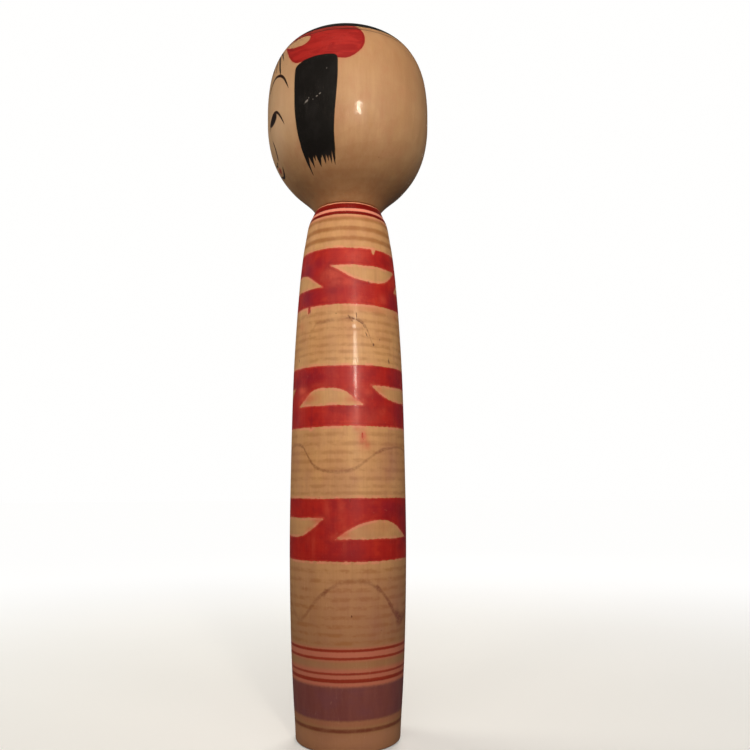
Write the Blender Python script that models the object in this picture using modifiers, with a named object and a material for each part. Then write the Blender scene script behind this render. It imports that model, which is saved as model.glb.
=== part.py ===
"""Kokeshi doll in two turned pieces, in metres, +Z up, standing on the origin, face towards -Y.

body: a slightly swelling column with an undercut blind socket in its top.
head: a round head whose tenon, turned in one with it, ends in a bulb that snaps into the socket
      and lets the head turn freely about the upright axis.
"""
import bmesh
import bpy
from mathutils import Vector
from mathutils.geometry import interpolate_bezier

MM = 0.001

# Overall
HEIGHT = 303.0            # one shaku, crown to base
SEAM_Z = 224.6            # top rim of the body
SEAM_GAP = 0.30           # running gap between the rim and the underside of the head
SEAM_RADIUS = 14.5

# Body, as (radius, height) stations from the rim down to the base
BODY_STATIONS = (
    (SEAM_RADIUS, SEAM_Z), (15.8, 221.6), (17.4, 217.8), (18.55, 211.5), (19.75, 204.0),
    (21.1, 191.5), (22.45, 173.0), (23.6, 150.5), (24.3, 122.0), (24.75, 86.0),
    (24.5, 61.0), (23.9, 39.5), (23.0, 21.0), (22.1, 7.5), (21.7, 0.0),
)
BASE_EDGE = 1.0           # rounding of the foot
RIM_EDGE = 0.45           # rounding of the rim

# Head, as (radius, height) stations from the crown down to the seam
HEAD_WIDTH_RADIUS = 35.8
HEAD_STATIONS = (
    (0.0, HEIGHT), (11.2, 302.6), (20.5, 301.0), (27.0, 297.2), (31.4, 291.7), (34.3, 284.2),
    (35.6, 275.2), (HEAD_WIDTH_RADIUS, 266.5), (35.4, 258.0), (33.6, 249.6), (30.2, 242.2),
    (25.3, 235.8), (19.4, 230.5), (16.6, 227.8), (14.3, SEAM_Z + SEAM_GAP),
)

# Socket and tenon
MOUTH_RADIUS = 8.0        # bore at the rim
MOUTH_DEPTH = 9.0         # from the rim down to the undercut
MOUTH_CHAMFER = 0.8
CHAMBER_RADIUS = 9.6
CHAMBER_HEIGHT = 10.0
CLEARANCE = 0.40          # all round, tenon to socket
BULB_RADIUS = CHAMBER_RADIUS - CLEARANCE
TENON_EDGE = 1.2          # rounding of the bulb

TURNS = 96                # facets round the axis
PER_SPAN = 3              # points added between two stations


def smooth_run(stations, last_across=False, first_across=False):
    """Points of a smooth curve through the stations; an end on the axis is met squarely."""
    pts = [Vector((r, 0.0, z)) for r, z in stations]
    before = [Vector((-pts[1].x, 0.0, pts[1].z)) if first_across else pts[0] * 2 - pts[1]]
    after = [Vector((-pts[-2].x, 0.0, pts[-2].z)) if last_across else pts[-1] * 2 - pts[-2]]
    line = before + pts + after
    out = [pts[0]]
    for a, b, c, d in zip(line, line[1:], line[2:], line[3:]):
        out += interpolate_bezier(b, b + (c - a) / 6, c - (d - b) / 6, c, PER_SPAN + 1)[1:]
    return out


def at(radius, height):
    return Vector((radius, 0.0, height))


def turned(name, points, rounded, colour, rough):
    """Turn an open profile about Z. rounded: (point, amount) corners to round off first."""
    bm = bmesh.new()
    verts = [bm.verts.new(p * MM) for p in points]
    for a, b in zip(verts, verts[1:]):
        bm.edges.new((a, b))
    bm.verts.ensure_lookup_table()
    for spot, amount, segments in rounded:
        corner = min(bm.verts, key=lambda v: (v.co - spot * MM).length)
        bmesh.ops.bevel(bm, geom=[corner], offset=amount * MM, offset_type='OFFSET',
                        segments=segments, profile=0.5, affect='VERTICES')
    mesh = bpy.data.meshes.new(name)
    bm.to_mesh(mesh)
    bm.free()
    obj = bpy.data.objects.new(name, mesh)
    bpy.context.scene.collection.objects.link(obj)
    screw = obj.modifiers.new("turned", 'SCREW')
    screw.axis = 'Z'
    screw.steps = TURNS
    screw.render_steps = TURNS
    screw.use_merge_vertices = True
    screw.merge_threshold = 1e-5
    screw.use_normal_calculate = True
    screw.use_smooth_shade = True
    mat = bpy.data.materials.new(name + "_wood")
    mat.use_nodes = True
    shader = mat.node_tree.nodes["Principled BSDF"]
    shader.inputs["Base Color"].default_value = colour
    shader.inputs["Roughness"].default_value = rough
    mesh.materials.append(mat)
    return obj


for old in list(bpy.data.objects):
    bpy.data.objects.remove(old, do_unlink=True)

# Body: from the middle of the socket floor, up its wall, over the rim, down the outside
mouth_low = SEAM_Z - MOUTH_DEPTH
floor = mouth_low - CHAMBER_HEIGHT
undercut = CHAMBER_RADIUS - MOUTH_RADIUS
outer = smooth_run(BODY_STATIONS)
body_points = [
    at(0, floor), at(CHAMBER_RADIUS, floor), at(CHAMBER_RADIUS, mouth_low - undercut),
    at(MOUTH_RADIUS, mouth_low), at(MOUTH_RADIUS, SEAM_Z - MOUTH_CHAMFER),
    at(MOUTH_RADIUS + MOUTH_CHAMFER, SEAM_Z),
] + outer + [at(0, 0)]
body = turned("body", body_points, (
    (at(CHAMBER_RADIUS, floor), TENON_EDGE, 3),
    (outer[0], RIM_EDGE, 3),
    (outer[-1], BASE_EDGE, 3),
), (0.55, 0.33, 0.17, 1), 0.35)

# Head: from the crown down the outside, across the seat, then down the tenon
seat = SEAM_Z + SEAM_GAP
neck_radius = MOUTH_RADIUS - CLEARANCE
bulb_top = mouth_low - undercut - CLEARANCE
bulb_low = floor + CLEARANCE
shoulder = bulb_top + (BULB_RADIUS - neck_radius)
head_points = smooth_run(HEAD_STATIONS, first_across=True) + [
    at(neck_radius, seat), at(neck_radius, shoulder), at(BULB_RADIUS, bulb_top),
    at(BULB_RADIUS, bulb_low), at(0, bulb_low),
]
head = turned("head", head_points, (
    (at(HEAD_STATIONS[-1][0], seat), RIM_EDGE, 3),
    (at(BULB_RADIUS, bulb_low), TENON_EDGE, 3),
), (0.55, 0.33, 0.17, 1), 0.35)
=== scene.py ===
import math
from functools import reduce

import bpy
import numpy as np
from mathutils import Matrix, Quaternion, Vector


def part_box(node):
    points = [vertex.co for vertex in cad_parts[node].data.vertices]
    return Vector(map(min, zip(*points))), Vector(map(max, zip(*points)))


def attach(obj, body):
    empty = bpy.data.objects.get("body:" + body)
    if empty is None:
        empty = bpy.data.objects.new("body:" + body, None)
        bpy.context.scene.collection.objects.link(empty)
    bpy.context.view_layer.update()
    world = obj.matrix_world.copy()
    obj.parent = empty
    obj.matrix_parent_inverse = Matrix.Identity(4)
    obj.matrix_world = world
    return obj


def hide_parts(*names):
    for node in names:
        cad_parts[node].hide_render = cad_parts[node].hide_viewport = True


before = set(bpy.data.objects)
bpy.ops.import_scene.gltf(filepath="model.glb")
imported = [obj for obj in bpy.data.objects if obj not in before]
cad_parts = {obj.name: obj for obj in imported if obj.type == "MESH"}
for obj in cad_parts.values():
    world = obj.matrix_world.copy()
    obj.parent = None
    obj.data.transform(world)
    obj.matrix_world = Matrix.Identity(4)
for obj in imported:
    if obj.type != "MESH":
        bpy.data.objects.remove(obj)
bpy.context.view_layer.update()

MM = 0.001

# ---- camera, as measured from the view
VIEW_AZIMUTH = 81.0        # the doll's left side is seen; the face looks to -Y
AXIS_DISTANCE = 0.3301     # eye to the turning axis
EYE_HEIGHT = 0.1018
PITCH_UP = 5.85
TURN_RIGHT = 2.03          # the doll stands a little left of the middle
ROLL = 0.23                # levels the axis
LENS = 36.69
SHIFT_Y = 0.05

# ---- turned profiles, (radius, height) in mm
SEAM_Z, HEIGHT = round(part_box("body")[1].z / MM, 2), round(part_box("head")[1].z / MM, 2)
SEAM_GAP, SEAM_RADIUS, FOOT_RADIUS = 0.30, 14.5, 21.7
RIM, NECK_RADIUS = 0.5, 14.3          # width of the rounded edge at the seam; the head's foot
BODY_STATIONS = (
    (SEAM_RADIUS, SEAM_Z), (15.8, 221.6), (17.4, 217.8), (18.55, 211.5), (19.75, 204), (21.1, 191.5),
    (22.45, 173), (23.6, 150.5), (24.3, 122), (24.75, 86), (24.5, 61), (23.9, 39.5), (23, 21), (22.1, 7.5),
    (FOOT_RADIUS, 0),
)
HEAD_STATIONS = (
    (0, HEIGHT), (11.2, 302.6), (20.5, 301), (27, 297.2), (31.4, 291.7), (34.3, 284.2), (35.6, 275.2),
    (35.8, 266.5), (35.4, 258), (33.6, 249.6), (30.2, 242.2), (25.3, 235.8), (19.4, 230.5), (16.6, 227.8),
    (NECK_RADIUS, SEAM_Z + SEAM_GAP),
)
MOUTH_R, MOUTH_DEPTH, MOUTH_CHAMFER = 8.0, 9.0, 0.8
CHAMBER_R, CHAMBER_H, CLEAR = 9.6, 10.0, 0.4


def smooth_run(stations, first_across=False, per_span=24):
    """Points along a smooth curve through the stations, closely spaced."""
    p = [np.array(s, float) for s in stations]
    before = np.array([-p[1][0], p[1][1]]) if first_across else 2 * p[0] - p[1]
    line = [before] + p + [2 * p[-1] - p[-2]]
    out = [p[0]]
    for a, b, c, d in zip(line, line[1:], line[2:], line[3:]):
        h1, h2 = b + (c - a) / 6, c - (d - b) / 6
        for t in np.linspace(0, 1, per_span + 1)[1:]:
            s = 1 - t
            out.append(s**3 * b + 3 * s * s * t * h1 + 3 * s * t * t * h2 + t**3 * c)
    return np.array(out)


def arc_length(pts):
    return np.concatenate([[0], np.cumsum(np.hypot(*np.diff(pts, axis=0).T))])


def resample(pts, spacing):
    """Points along the line; spacing(height) gives the step in mm."""
    s = arc_length(pts)
    z = pts[:, 1]
    marks, here = [0.0], 0.0
    while here < s[-1]:
        here += spacing(np.interp(here, s, z))
        marks.append(here)
    marks = np.array(marks) * (s[-1] / marks[-1])
    return np.stack([np.interp(marks, s, pts[:, 0]), np.interp(marks, s, pts[:, 1])], 1)


def rounded(before, corner, after, steps=6):
    t = np.linspace(0, 1, steps)[:, None]
    return (1 - t) ** 2 * np.array(before) + 2 * t * (1 - t) * np.array(corner) + t**2 * np.array(after)


def trim(pts, start, end):
    """Cut a length off each end of a line."""
    s = arc_length(pts)
    keep = (s > start) & (s < s[-1] - end)
    cut = [start, s[-1] - end]
    ends = [[np.interp(c, s, pts[:, 0]), np.interp(c, s, pts[:, 1])] for c in cut]
    return np.concatenate([[ends[0]], pts[keep], [ends[1]]])


def runs(start, *stops):
    """Straight lines from start through the stops, each of them (radius, height, steps to there)."""
    out = []
    for r, z, n in stops:
        out.append(np.linspace(start, (r, z), n + 1)[1:])
        start = r, z
    return np.concatenate(out)


def new_object(name, data):
    obj = bpy.data.objects.new(name, data)
    bpy.context.scene.collection.objects.link(obj)
    return obj


def turned_mesh(name, profile, azimuths):
    """Turn the profile (its two ends on the axis) about Z. Azimuth 0 is the face, 90 its left."""
    n, m = len(profile) - 2, len(azimuths)
    r, z = profile[1:-1, 0], profile[1:-1, 1]
    az = np.radians(azimuths)
    co = np.empty((n * m + 2, 3))
    co[:-2, 0] = (r[:, None] * np.sin(az)).ravel()
    co[:-2, 1] = (-r[:, None] * np.cos(az)).ravel()
    co[:-2, 2] = np.repeat(z, m)
    co[-2] = (0, 0, profile[0, 1])
    co[-1] = (0, 0, profile[-1, 1])
    i = np.arange(n - 1)[:, None] * m
    j = np.arange(m)[None, :]
    k = (j + 1) % m
    quads = np.stack([i + j, i + m + j, i + m + k, i + k], -1).reshape(-1, 4)
    j, k = np.arange(m), (np.arange(m) + 1) % m
    top = np.stack([np.full(m, n * m), j, k], 1)
    low = np.stack([np.full(m, n * m + 1), (n - 1) * m + k, (n - 1) * m + j], 1)
    mesh = bpy.data.meshes.new(name)
    mesh.from_pydata((co * MM).tolist(), [], quads.tolist() + top.tolist() + low.tolist())
    mesh.validate()
    mesh.shade_smooth()
    obj = new_object(name, mesh)
    full_az = np.concatenate([np.tile(azimuths, n), [0, 0]])
    full_row = np.concatenate([np.repeat(np.arange(1, n + 1), m), [0, n + 1]])
    return obj, co, full_az, full_row


def store(obj, name, values):
    attr = obj.data.attributes.new(name, 'FLOAT', 'POINT')
    attr.data.foreach_set("value", np.asarray(values, np.float32))


def wrap(az, centre=0.0):
    return (az - centre + 180) % 360 - 180


# ---- painted shapes as distances in mm, + inside
FAR, REACH = -20.0, 4.0     # outside every shape; how far round a shape the distance is worked out


def bend(a, b, c, d, t):
    """The point a share t of the way from b to c, on a smooth line through a, b, c and d."""
    return 0.5 * (2 * b + (c - a) * t + (2 * a - 5 * b + 4 * c - d) * t * t + (3 * b - a - 3 * c + d) * t**3)


def open_curve(points, per_span=8):
    """A smooth open line through given points of any number of columns."""
    p = [np.array(q, float) for q in points]
    line = [2 * p[0] - p[1]] + p + [2 * p[-1] - p[-2]]
    shares = np.linspace(0, 1, per_span + 1)[1:]
    return np.array([p[0]] + [bend(*span, t) for span in zip(line, line[1:], line[2:],
                                                             line[3:]) for t in shares])


def closed_curve(points, per_span=8):
    p = [np.array(q, float) for q in points]
    shares = np.linspace(0, 1, per_span + 1)[:-1]
    spans = zip(p[-1:] + p[:-1], p, p[1:] + p[:1], p[2:] + p[:2])
    return np.array([bend(*span, t) for span in spans for t in shares])


def segment_distance(u, v, a, b):
    d = b - a
    t = np.clip(((u - a[0]) * d[0] + (v - a[1]) * d[1]) / max(d @ d, 1e-9), 0, 1)
    return np.hypot(u - a[0] - t * d[0], v - a[1] - t * d[1]), t


def close_to(u, v, shape):
    low, high = shape.min(0) - REACH, shape.max(0) + REACH
    return (u > low[0]) & (u < high[0]) & (v > low[1]) & (v < high[1])


def stroke_field(u, v, path):
    """path: rows of (u, v, half width)."""
    out = np.full(u.shape, FAR)
    near = close_to(u, v, path)
    if near.any():
        best = np.full(near.sum(), FAR)
        for a, b in zip(path, path[1:]):
            d, t = segment_distance(u[near], v[near], a[:2], b[:2])
            best = np.maximum(best, a[2] + t * (b[2] - a[2]) - d)
        out[near] = best
    return out


def area_field(u, v, poly):
    """Distance to a closed outline, + inside it."""
    out = np.full(u.shape, FAR)
    near = close_to(u, v, poly)
    if near.any():
        un, vn = u[near], v[near]
        best, inside = np.full(un.shape, 1e9), np.zeros(un.shape, bool)
        for a, b in zip(poly, np.roll(poly, -1, 0)):
            best = np.minimum(best, segment_distance(un, vn, a, b)[0])
            crosses = (a[1] > vn) != (b[1] > vn)
            with np.errstate(divide='ignore', invalid='ignore'):
                x = a[0] + (vn - a[1]) / (b[1] - a[1]) * (b[0] - a[0])
            inside ^= crosses & (un < x)
        out[near] = np.where(inside, best, -best)
    return out


# ---- body
FOOT_EDGE, DISH_RADIUS, DISH_DEPTH = 1.0, 17.5, 0.35      # rounding of the foot; shallow recess under it
ROW, COLUMN = 0.66, 1.5                                  # mesh steps: mm up the body, degrees round it


def build_body():
    low = SEAM_Z - MOUTH_DEPTH
    floor = low - CHAMBER_H
    under = CHAMBER_R - MOUTH_R
    outer = smooth_run(BODY_STATIONS)
    line = resample(trim(outer, RIM, FOOT_EDGE), lambda z: ROW)
    rim = rounded((SEAM_RADIUS - RIM, SEAM_Z), (SEAM_RADIUS, SEAM_Z), line[0])
    flat = FOOT_RADIUS - FOOT_EDGE
    foot = rounded(line[-1], (FOOT_RADIUS, 0), (flat, 0))
    base_r = np.linspace(flat, 0.0, 53)[1:]
    dish = np.clip((DISH_RADIUS - base_r) / 1.5, 0, 1)
    base = np.stack([base_r, DISH_DEPTH * dish ** 2 * (3 - 2 * dish)], 1)
    inner = np.concatenate([
        [[0, floor]], runs((0, floor), (CHAMBER_R - 1, floor, 3)),
        rounded((CHAMBER_R - 1, floor), (CHAMBER_R, floor), (CHAMBER_R, floor + 1), 4)[1:],
        runs((CHAMBER_R, floor + 1), (CHAMBER_R, low - under, 4), (MOUTH_R, low, 2),
             (MOUTH_R, SEAM_Z - MOUTH_CHAMFER, 4), (MOUTH_R + MOUTH_CHAMFER, SEAM_Z, 2),
             (SEAM_RADIUS - RIM, SEAM_Z, 5))[:-1],
    ])
    profile = np.concatenate([inner, rim, line[1:-1], foot, base])
    return turned_mesh("kokeshi_body", profile, np.arange(360 / COLUMN) * COLUMN)


def spur_marks(obj, co):
    """The pits that the lathe's centre and four prongs leave in the foot."""
    r = np.hypot(co[:, 0], co[:, 1])
    depth = 1.8 * np.clip(1.6 - r, 0, 1)
    for i in range(4):
        a = math.radians(18 + 90 * i)
        along = co[:, 0] * math.cos(a) + co[:, 1] * math.sin(a)
        across = co[:, 1] * math.cos(a) - co[:, 0] * math.sin(a)
        slit = np.clip((0.75 - np.abs(across)) / 0.45, 0, 1) * np.clip((along - 4.2) / 0.6, 0, 1)
        depth = np.maximum(depth, 1.1 * slit * np.clip((9.8 - along) / 0.8, 0, 1))
    depth = np.where((co[:, 2] < 1) & (r < 17), depth, 0)
    moved = co.copy()
    moved[:, 2] += depth
    obj.data.vertices.foreach_set("co", (moved * MM).ravel())
    obj.data.update()
    store(obj, "pit", depth)


body, body_co, body_az, _ = build_body()
spur_marks(body, body_co)
bz, body_r = body_co[:, 2], np.hypot(body_co[:, 0], body_co[:, 1])
CAM = VIEW_AZIMUTH
GIRTH_RADIUS = 23.5                       # the painting is laid out on this radius
ARC = math.radians(1) * GIRTH_RADIUS      # mm round the body for one degree


def around(angle):
    """Distance round the body, in mm, from an angle measured from the side that is seen."""
    return wrap(body_az - CAM, angle) * ARC


def opening(flat, reach, left, right, bow):
    """A plain patch in a red group: one side is flat, and the other reaches up or down from it.
    bow: how far the curved side is gone at even steps across, 0 to 1."""
    t = np.linspace(0, 1, len(bow))
    a = left + (right - left) * t
    z = flat + (reach - flat) * np.array(bow)
    side = open_curve(np.stack([a, z], 1), 6)
    side[:, 1] = np.clip(side[:, 1], min(flat, reach) - 0.3, max(flat, reach) + 0.3)
    edge = np.stack([np.linspace(right, left, 24), np.full(24, flat)], 1)
    edge[:, 1] += 0.10 * np.sin(edge[:, 0] * 0.21 + flat)
    return np.concatenate([side, edge[1:-1]])


BOW = (0, .42, .74, .93, 1, .95, .74, .42, 0)
FULL = (0, .55, .86, .97, 1, .97, .86, .55, 0)
SKEW_L = (0, .34, .66, .87, .98, 1, .86, .5, 0)
SKEW_R = (0, .48, .84, .98, 1, .88, .62, .3, 0)
# (top, foot, openings); angles are measured from the side that is seen, in degrees
RED_GROUPS = (
    (202.9, 178.2, (opening(195.2, 188.2, -21, 69, (0, .33, .68, .9, .99, 1, .84, .46, 0)),
                    opening(186.1, 193.2, -116, -29, (0, .5, .86, 1, 1, .96, .78, .4, 0)),
                    opening(186.2, 193, 64, 149, SKEW_R), opening(195.1, 187.6, 158, 236, BOW))),
    (152.7, 127.7, (opening(136.3, 143.3, -58, 16, (0, .36, .82, 1, 1, .97, .8, .38, 0)),
                    opening(144.5, 138.4, 23, 106, (0, .55, .86, .98, 1, .96, .8, .48, 0)),
                    opening(136.2, 143, 117, 194, FULL), opening(144.6, 138.1, 204, 293, SKEW_L))),
    (98.9, 74, (opening(82.7, 90.1, -12, 72, (0, .42, .74, .93, 1, .96, .72, .36, 0)),
                opening(91, 83.3, -112, -23, (0, .45, .82, .97, 1, 1, .86, .5, 0)),
                opening(90.9, 83.6, 81, 163, BOW), opening(82.8, 89.8, 172, 240, SKEW_R))),
)


def body_red():
    field = np.full(len(bz), FAR)
    for index, (top, foot, gaps) in enumerate(RED_GROUPS):
        sel = (bz > foot - 6) & (bz < top + 6) & (body_r > 12)
        a = np.radians(body_az[sel])
        z = bz[sel]
        wob_t = 0.1 * np.sin(3 * a + index) + 0.07 * np.sin(7 * a + 2 * index)
        wob_f = 0.1 * np.sin(2 * a + 4 * index) + 0.08 * np.sin(5 * a + index)
        f = np.minimum(top + wob_t - z, z - foot - wob_f)
        for gap in gaps:
            mid = (gap[:, 0].min() + gap[:, 0].max()) / 2
            poly = np.stack([(gap[:, 0] - mid) * ARC, gap[:, 1]], 1)
            f = np.minimum(f, -area_field(around(mid)[sel], z, poly))
        field[sel] = np.maximum(field[sel], f)
    # a drip, a smudge and two small runs of the brush
    marks = (
        ((-47, 178.5, .9), (-47.3, 176.6, .7), (-47.6, 175.6, .35)),
        ((13.6, 125, .2), (14, 123.6, .42), (14.5, 122.2, .15)), ((-39, 128.2, .5), (-38.4, 127, .3)),
        ((171, 127.9, .8), (171.5, 126, .5), (171.8, 125, .2)),
    )
    for mark in marks:
        path = np.array(mark, float)
        mid = path[0, 0]
        path[:, 0] = (path[:, 0] - mid) * ARC
        field = np.maximum(field, np.where(bz > 40, stroke_field(around(mid), bz, path), FAR))
    notch = np.array([(-.9, 203.4), (1.2, 203.4), (.5, 201.4), (-.1, 200.2), (-.8, 201.6)])
    return np.minimum(field, -area_field(around(32) * 20 / GIRTH_RADIUS, bz, notch))


# the three faded waving lines: lowest and highest place, then (angle, height) along each
WAVES = (
    (154, 178, ((-180, 158.5), (-150, 163), (-120, 171), (-95, 170), (-72, 160), (-60, 157.5), (-47, 165),
                (-36, 170.2), (-26, 171.1), (-14, 171.9), (-6, 172.5), (0, 172.4), (9, 171.8), (14, 170.8),
                (18.5, 169), (22, 166), (26, 161.8), (36, 158), (47, 156.6), (60, 157.5), (80, 164),
                (100, 171.5), (118, 172.5), (136, 166), (156, 159.5), (180, 158.5))),
    (101, 127, ((-180, 118), (-160, 120.5), (-140, 119), (-122, 113), (-105, 110.2), (-90, 112.5),
                (-74, 119.6), (-60, 120.9), (-50, 119.9), (-44, 117), (-39, 114), (-32, 111.3), (-23, 109.9),
                (-10, 109.4), (0, 109.8), (9, 111.3), (17, 113.8), (25, 116.2), (34, 118.2), (48, 119.3),
                (64, 119.6), (84, 117), (104, 111), (124, 109.6), (146, 112), (166, 116), (180, 118))),
    (42, 73, ((-180, 52), (-160, 50), (-140, 54), (-118, 62.5), (-100, 65), (-82, 61), (-66, 53.5),
              (-54, 50.6), (-46, 52), (-38, 55.5), (-29, 59.8), (-20, 62.6), (-9, 65.4), (3, 66.4), (15, 66),
              (26, 64.2), (34, 61.6), (41, 58), (48, 54), (55, 51.4), (63, 50.2), (76, 51.4), (94, 56.5),
              (112, 63.5), (130, 65.6), (148, 61), (166, 54.5), (180, 52))),
)

# heights of the brown lathe lines; their number runs on evenly between them
LATHE_LINES = (
    39, 42.5, 45.4, 48.7, 52.2, 55.8, 59.2, 62.9, 66.3, 70.2, 73.7, 77.2, 80.7, 84.2, 87.6, 91, 94.4, 97.7,
    100.9, 103.6, 106.6, 110.2, 113.8, 117.1, 120.8, 124.6, 128.2, 131.6, 135, 138.4, 141.8, 145.2, 148.6,
    152, 155.2, 158.2, 161.1, 164.6, 167.8, 171.4, 174.8, 178.4, 182.3, 186.3, 190.3, 194.4, 198.5, 202.7,
    207.1, 211.7, 216.4, 221.2, 226,
)

# where each waving line has kept its ink, as (angle, strength)
WAVE_INK = (
    ((-180, .2), (-140, .7), (-100, .3), (-60, 0), (-42, 0), (-37, .4), (-30, .5), (-17, .5), (-11, .08),
     (-4, .3), (0, .7), (22, .75), (27, .15), (34, 0), (60, .06), (90, .5), (130, .8), (160, .3), (180, .2)),
    ((-180, .5), (-130, .9), (-90, .5), (-60, .55), (-42, .95), (-24, .7), (-6, .5), (8, .55), (22, .4),
     (34, .9), (48, .7), (62, .6), (100, .9), (150, .5), (180, .5)),
    ((-180, .4), (-120, .8), (-80, .5), (-52, .35), (-38, .55), (-29, .5), (-22, 1.2), (-16, .55), (-8, .4),
     (12, .45), (24, .6), (29, 1.2), (35, .7), (42, 1.1), (50, 1.1), (56, 1.45), (64, 1.2), (80, .5),
     (120, .9), (150, .4), (180, .4)),
)


def by_wave(rows, elsewhere):
    """What each waving line's own (angle, value) rows say, in the heights round that line."""
    out, a = np.zeros(len(bz)) + elsewhere, wrap(body_az - CAM)
    for (low, high, _), row in zip(WAVES, rows):
        row = np.array(row, float)
        sel = (bz > low - 14) & (bz < high + 14)
        out[sel] = np.interp(a, row[:, 0], row[:, 1])[sel]
    return out


# thin finger smears of the red, as (angle, height, half width, half height, strength)
SMEARS = (
    (14, 122.6, 1.5, 2.9, .85), (18.5, 120, 1, 1.5, .5), (9, 126.5, 1.1, 1, .45), (150, 108, 1.8, 2.2, .6),
    (-122, 65, 1.5, 2.4, .55), (-60, 171, 2, 2, .3), (62, 176, 2, 2.2, .5), (-150, 206, 1.4, 1.4, .4),
    (-42, 139.6, 3.6, 1.5, .62), (7, 138.6, 3.4, 1.3, .66), (29, 143, 3, 1.1, .62), (-6, 84.6, 3.6, 1.3, .62),
    (34, 88, 9, 3, .14), (-28, 90, 2.4, 1.2, .6), (-36, 86.4, 2.6, .8, .5), (26, 176.4, 9, 1, .34),
    (-10, 176.8, 8, .8, .16), (110, 139, 3, 1.1, .55), (-110, 188, 3, 1, .5), (-160, 86, 3, 1, .55),
)

# soft violet stains where the waving ink has bled away
STAINS = (
    (46, 113, 6, 9, .42), (32, 108, 4, 6, .26), (38, 100.5, 4, 2, .28), (56, 54, 6, 8, .3),
    (-4, 58, 10, 8, .16), (24, 48, 6, 5, .18), (-70, 116, 5, 5, .25), (130, 114, 9, 7, .3),
    (-130, 60, 8, 9, .28), (150, 165, 9, 6, .2), (-150, 112, 8, 6, .26),
)

# where the red lies thick and dark, and where it is thin and pale
DEEP = (
    (-56, 194, 6, 5, .9), (-40, 196.5, 4, 2.5, .6), (-48, 182.5, 6, 3.5, .8), (58, 180, 4, 4, .6),
    (-16, 184, 5, 3, .35), (-47, 148, 4.5, 2.6, .7), (-38.2, 131, .5, 5, .55), (-60, 147, 7, 4, .65),
    (-28, 149, 7, 3.5, .36), (62, 149, 5, 5, .6), (60, 133.5, 4, 5, .6), (-64, 132, 4, 4, .45),
    (38, 95.5, 9, 3.5, .5), (66, 90, 4, 8, .5), (2, 78, 5, 4, .3), (120, 196, 9, 4, .6), (170, 182, 7, 4, .5),
    (150, 148, 8, 4, .6), (-140, 132, 8, 4, .5), (130, 78, 8, 4, .5), (-120, 95, 8, 4, .5),
)
PALE = (
    (-20, 191, 5, 2.4, .75), (-9, 187.8, 5, 1.6, .6), (10, 199.5, 5, 2.5, .35), (42, 181.5, 1.8, 1.7, .6),
    (-44, 140.8, 2.4, 1.6, .8), (-50, 138.6, 2, 2.2, .7), (-30, 144.6, 3.5, .8, .35),
    (-52, 143.2, 2.6, 1.4, .95), (5.5, 139.8, 2, 1.2, .8), (12.5, 137.6, 1.8, 1, .6), (26.5, 144, 1.6, 1, .8),
    (31.5, 142.6, 1.6, 1, .6), (20, 141.8, 1.6, 1.4, .45), (36.5, 133.8, 2.2, 1.7, .45), (8, 146, 1, 3.4, .4),
    (18, 131, 7, 3.5, .3), (-20, 95, .9, 4, .4), (-6, 95.8, 1.1, 3.2, .5), (-6, 91, 1.4, 2, .4),
    (-26.5, 90.8, 2.4, 1, .6), (-36, 87.3, 2, 1, .5), (-10, 83.4, 2, 1.2, .7), (0, 86.6, 2.4, .9, .5),
    (-34, 80, .8, 7, .35), (-3, 84, .9, 6, .35), (104, 183, 4, 3, .5), (190, 140, 4, 3, .5),
    (-100, 148, 5, 3, .45), (-150, 92, 4, 3, .5), (160, 94, 3, 3, .4),
)


def smears(marks):
    """Soft spots of (angle, height, half width, half height, strength)."""
    out = np.zeros(len(bz))
    for a, z, w, h, strength in marks:
        u, v = around(a) / w, (bz - z) / h
        out = np.maximum(out, strength * np.exp(-0.7 * (u * u + v * v)) * (bz > 20))
    return out


# fine drying checks along the grain, as (angle, low, high, half width)
CHECKS = (
    (46.5, 153.6, 157.4, .3), (-45.5, 171.8, 179, .18), (8.5, 171, 176.2, .2), (-44.5, 165, 167.2, .24),
    (-61, 155, 157.2, .26), (27.5, 160.9, 162.2, .36), (34.5, 163.2, 164.4, .28), (-67, 172.2, 174.6, .26),
    (24.5, 186.8, 190.6, .18), (-38.2, 126.5, 140, .17), (3, 52.2, 53.4, .3), (100, 20, 47, .22),
    (168, 100, 131, .18), (-110, 60, 84, .2), (205, 150, 176, .18), (2, 96.6, 98.8, .2),
)
# slanting scratches across the highest waving line, as (angle, height, angle, height, half width)
SCRATCHES = (
    (-.5, 173.8, 3, 171.4, .26), (1.5, 171.4, 5.5, 172.6, .22), (3.5, 172.6, 8, 171.2, .28),
    (7.5, 171.8, 13, 170.4, .24), (11.5, 171.2, 17, 169.2, .27), (15.5, 169.8, 19, 167.2, .22),
    (17.5, 167, 21.5, 163.6, .27), (2.5, 170.4, 6.5, 171.4, .2), (-4, 172.6, -1, 172.2, .2),
)


def checks():
    strokes = []
    for a, low, high, w in CHECKS:
        z = np.linspace(low, high, 7)
        wander = 0.25 * np.sin(z * 1.3 + a)
        strokes.append((a, np.stack([wander, z, w * np.array([.1, .7, 1, .8, 1, .6, .1])], 1)))
    for a, z, a_end, z_end, w in SCRATCHES:
        end = (a_end - a) * ARC
        middle = [end * .5, (z + z_end) / 2 + .15, w]
        strokes.append((a, np.array([[0, z, .3 * w], middle, [end, z_end, .02]])))
    field = np.max([stroke_field(around(a), bz, path) for a, path in strokes], 0)
    return np.where(bz > 5, field, FAR)


curves = [open_curve(points, 6) for _, _, points in WAVES]
for name, values in (("wave_ink", by_wave(WAVE_INK, 0)), ("wave", bz - by_wave(curves, bz - 30)),
                     ("smear", smears(SMEARS)), ("violet", smears(STAINS)), ("deep", smears(DEEP)),
                     ("pale", smears(PALE)), ("check", checks()), ("red", body_red()),
                     ("lathe", np.interp(bz, LATHE_LINES, np.arange(len(LATHE_LINES)))),
                     ("painted", (body_r > 13.5) | (bz < 2))):
    store(body, name, values)


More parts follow.
